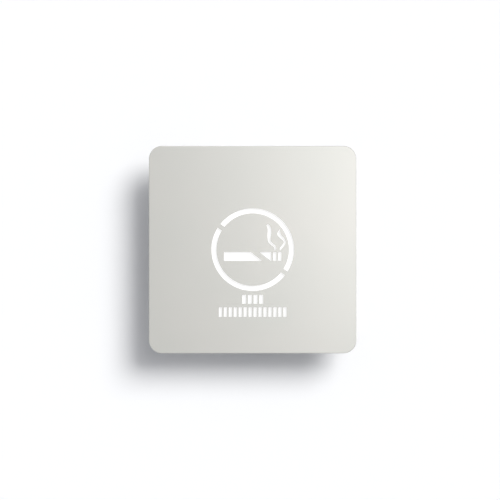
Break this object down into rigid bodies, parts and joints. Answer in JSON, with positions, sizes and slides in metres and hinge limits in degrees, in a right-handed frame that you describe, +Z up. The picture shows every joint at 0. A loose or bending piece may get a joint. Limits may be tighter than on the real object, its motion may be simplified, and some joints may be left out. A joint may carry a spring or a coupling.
{
  "type": "illuminated no smoking sign",
  "caption": "Square backlit wall sign: satin aluminium face with a cut-through no smoking picture, an opal diffuser and a slim lit tray hung on a hidden wall base.",
  "frame": {"origin": "on the wall plane, in the middle of the base's wall screw pattern", "axes": "+Z up, +X to the right as seen from the front, the face looks along -Y, the wall lies on the +Y side"},
  "size_m": [0.15, 0.033, 0.15],
  "materials": {
    "anodised_face": "bead blasted, anodised natural, satin",
    "opal_acrylic": "opal, lit from behind, satin surface",
    "foam": "closed-cell foam",
    "white_tray": "white powder coat, satin",
    "grey_casting": "die cast, light grey powder coat, satin",
    "zinc_steel": "zinc plated, bright",
    "stud_steel": "plain, as welded",
    "heat_pad": "silicone pad, matt",
    "board_white": "white solder mask",
    "lamp_body": "yellow phosphor under clear resin",
    "resistor_black": "ceramic chip with a black coat",
    "nylon_white": "moulded nylon",
    "black_rubber": "moulded",
    "brass": "turned, plain",
    "driver_case": "moulded, fine texture",
    "tinned_copper": "tin plated",
    "brown_pvc": "extruded",
    "blue_pvc": "extruded",
    "red_pvc": "extruded",
    "black_pvc": "extruded",
    "earth_pvc": "extruded, green with yellow"
  },
  "bodies": {
    "root": {"face_plate": "anodised_face", "weld_studs": "stud_steel", "face_gasket": "foam", "diffuser": "opal_acrylic", "light_tray": "white_tray", "stud_washers": "zinc_steel", "stud_nuts": "zinc_steel", "thermal_pad": "heat_pad", "led_board": "board_white", "leds": "lamp_body", "resistors": "resistor_black", "board_connector": "nylon_white", "board_screws": "zinc_steel", "tray_grommet": "black_rubber", "hanger_pins": "stud_steel", "lock_inserts": "zinc_steel", "lock_screws": "zinc_steel", "wall_base": "grey_casting", "cable_grommet": "black_rubber", "cable_saddle": "nylon_white", "saddle_screws": "zinc_steel", "terminal_block": "nylon_white", "terminal_tubes": "brass", "terminal_screws": "zinc_steel", "terminal_fixings": "zinc_steel", "driver": "driver_case", "driver_screws": "zinc_steel", "earth_lug": "tinned_copper", "earth_screw": "brass", "brown_lead": "brown_pvc", "blue_lead": "blue_pvc", "red_lead": "red_pvc", "black_lead": "black_pvc", "earth_lead": "earth_pvc"}
  },
  "joints": []
}
